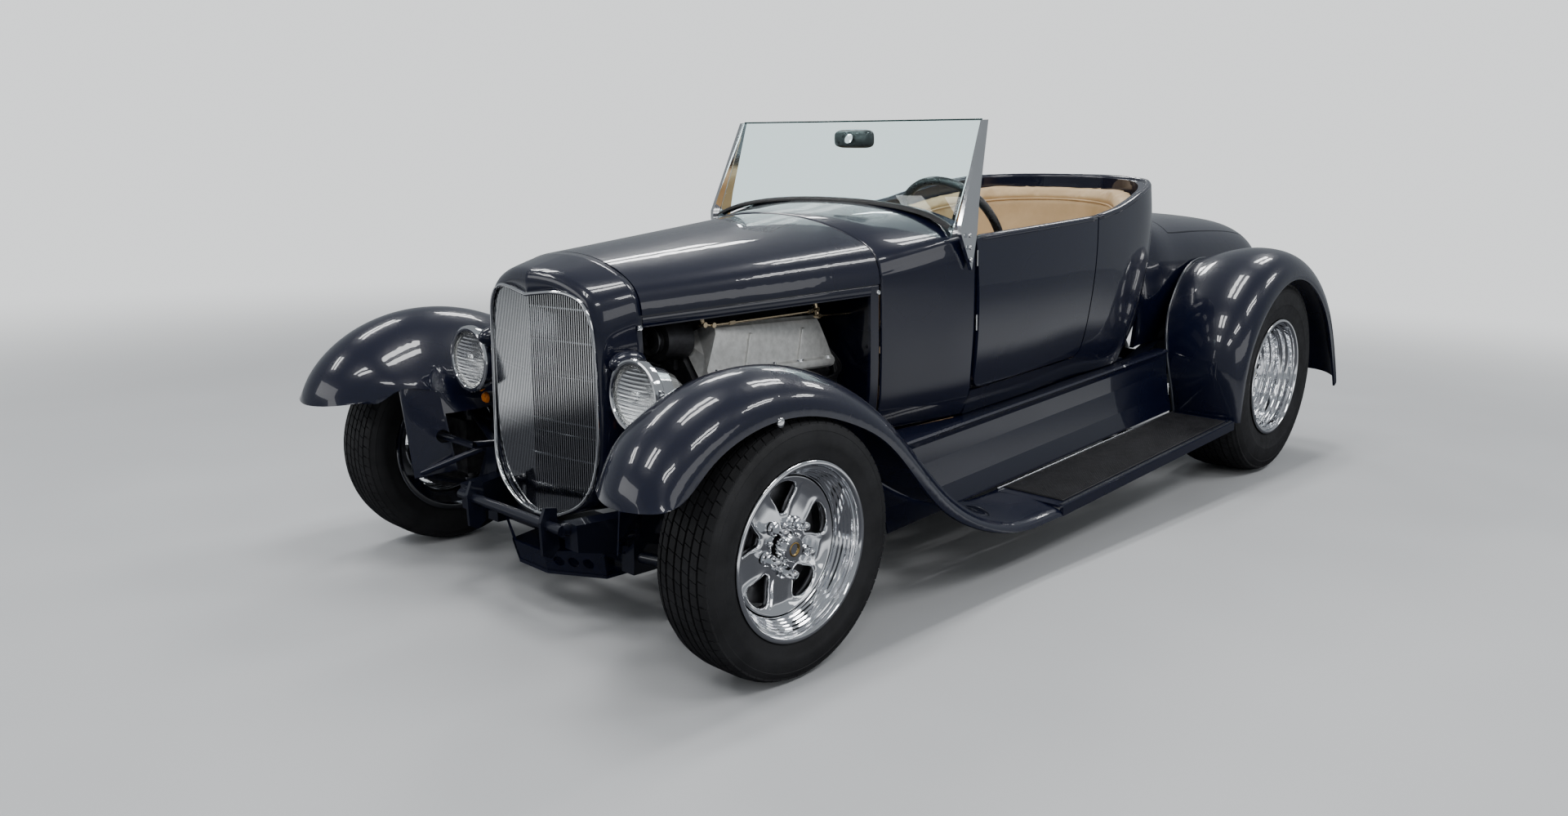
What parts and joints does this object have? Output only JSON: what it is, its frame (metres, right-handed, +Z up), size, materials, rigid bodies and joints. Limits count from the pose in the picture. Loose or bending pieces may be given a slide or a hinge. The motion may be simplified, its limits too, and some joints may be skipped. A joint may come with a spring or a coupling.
{
  "type": "street rod roadster",
  "caption": "Open two-seat street rod roadster with full fenders, running boards, open-sided engine bay, doors, steering and rolling wheels.",
  "frame": {"origin": "centre of the overall box in plan, on the floor the tyres stand on", "axes": "+X to the nose, +Y to the car's left side, +Z up"},
  "size_m": [3.8999, 1.5536, 1.2622],
  "materials": {
    "body_paint": "deep gloss midnight blue paint",
    "frame_paint": "dark gloss chassis paint",
    "polished_wheel": "polished cast aluminium",
    "tyre_rubber": "dark tyre rubber",
    "bright_trim": "chrome plate",
    "cast_covers": "satin cast aluminium",
    "engine_metal": "dark engine castings",
    "exhaust_steel": "satin stainless tube",
    "lamp_glass": "fluted clear lens",
    "screen_glass": "aqua tinted flat glass",
    "tan_leather": "tan leather",
    "steering_black": "black wrapped rim",
    "red_lens": "red lamp lens",
    "cockpit_trim": "tan carpet",
    "brake_steel": "turned steel and dark castings"
  },
  "bodies": {
    "chassis": {"frame": "frame_paint", "front_arms": "frame_paint", "front_pan": "body_paint", "rear_axle": "frame_paint", "engine_block": "engine_metal", "valve_covers": "cast_covers", "exhaust_pipes": "exhaust_steel", "radiator": "engine_metal", "grille_shell": "body_paint", "grille_bars": "bright_trim", "hood_top": "body_paint", "headlamps": "bright_trim", "headlamp_lenses": "lamp_glass", "firewall": "body_paint", "cowl": "body_paint", "body_tub": "body_paint", "floor_pan": "frame_paint", "dashboard": "body_paint", "windshield_glass": "screen_glass", "windshield_posts": "bright_trim", "steering_column": "bright_trim", "seat_cushion": "tan_leather", "seat_back": "tan_leather", "turtle_deck": "body_paint", "front_fenders": "body_paint", "rear_fenders": "body_paint", "running_boards": "body_paint", "splash_aprons": "body_paint", "tail_lamps": "red_lens"},
    "knuckle_left": {"knuckle_left": "brake_steel"},
    "knuckle_right": {"knuckle_right": "brake_steel"},
    "front_wheel_left": {"front_tyre_left": "tyre_rubber", "front_rim_left": "polished_wheel"},
    "front_wheel_right": {"front_tyre_right": "tyre_rubber", "front_rim_right": "polished_wheel"},
    "rear_wheel_left": {"rear_tyre_left": "tyre_rubber", "rear_rim_left": "polished_wheel"},
    "rear_wheel_right": {"rear_tyre_right": "tyre_rubber", "rear_rim_right": "polished_wheel"},
    "steering_rack": {"steering_rack": "brake_steel"},
    "steering_wheel": {"steering_wheel": "steering_black"},
    "door_left": {"door_left": "body_paint"},
    "door_right": {"door_right": "body_paint"},
    "deck_lid": {"deck_lid": "body_paint"}
  },
  "joints": [
    {"name": "steer_left", "type": "hinge", "parent": "chassis", "child": "knuckle_left", "pos_m": [1.5149, 0.556, 0.2985], "axis": [0, 0, 1], "range_deg": [-25, 25]},
    {"name": "steer_right", "type": "hinge", "parent": "chassis", "child": "knuckle_right", "pos_m": [1.5149, -0.556, 0.2985], "axis": [0, 0, 1], "range_deg": [-25, 25]},
    {"name": "rack_slide", "type": "slide", "parent": "chassis", "child": "steering_rack", "axis": [0, 1, 0], "range_m": [-0.056, 0.056]},
    {"name": "steering_wheel_turn", "type": "hinge", "parent": "chassis", "child": "steering_wheel", "pos_m": [0.31499, 0.262, 0.93197], "axis": [-0.8831, 0, 0.4693], "range_deg": [-355, 355]},
    {"name": "front_spin_left", "type": "hinge", "parent": "knuckle_left", "child": "front_wheel_left", "pos_m": [1.5149, 0.692, 0.2985], "axis": [0, 1, 0], "continuous": true},
    {"name": "front_spin_right", "type": "hinge", "parent": "knuckle_right", "child": "front_wheel_right", "pos_m": [1.5149, -0.692, 0.2985], "axis": [0, 1, 0], "continuous": true},
    {"name": "rear_spin_left", "type": "hinge", "parent": "chassis", "child": "rear_wheel_left", "pos_m": [-1.2021, 0.604, 0.376], "axis": [0, 1, 0], "continuous": true},
    {"name": "rear_spin_right", "type": "hinge", "parent": "chassis", "child": "rear_wheel_right", "pos_m": [-1.2021, -0.604, 0.376], "axis": [0, 1, 0], "continuous": true},
    {"name": "door_left_hinge", "type": "hinge", "parent": "chassis", "child": "door_left", "pos_m": [0.51206, 0.506, 0.7147], "axis": [0.0698, 0, 0.9976], "range_deg": [-65, 0]},
    {"name": "door_right_hinge", "type": "hinge", "parent": "chassis", "child": "door_right", "pos_m": [0.51206, -0.506, 0.7147], "axis": [0.0698, 0, 0.9976], "range_deg": [0, 65]},
    {"name": "deck_lid_hinge", "type": "hinge", "parent": "chassis", "child": "deck_lid", "pos_m": [-1.02043, 0, 0.97623], "axis": [0, 1, 0], "range_deg": [0, 50]}
  ],
  "couplings": [
    {"joint": "steer_right", "follows": "steer_left", "ratio": 1},
    {"joint": "rack_slide", "follows": "steer_left", "m_per_rad": -0.118},
    {"joint": "steering_wheel_turn", "follows": "steer_left", "ratio": 14}
  ]
}
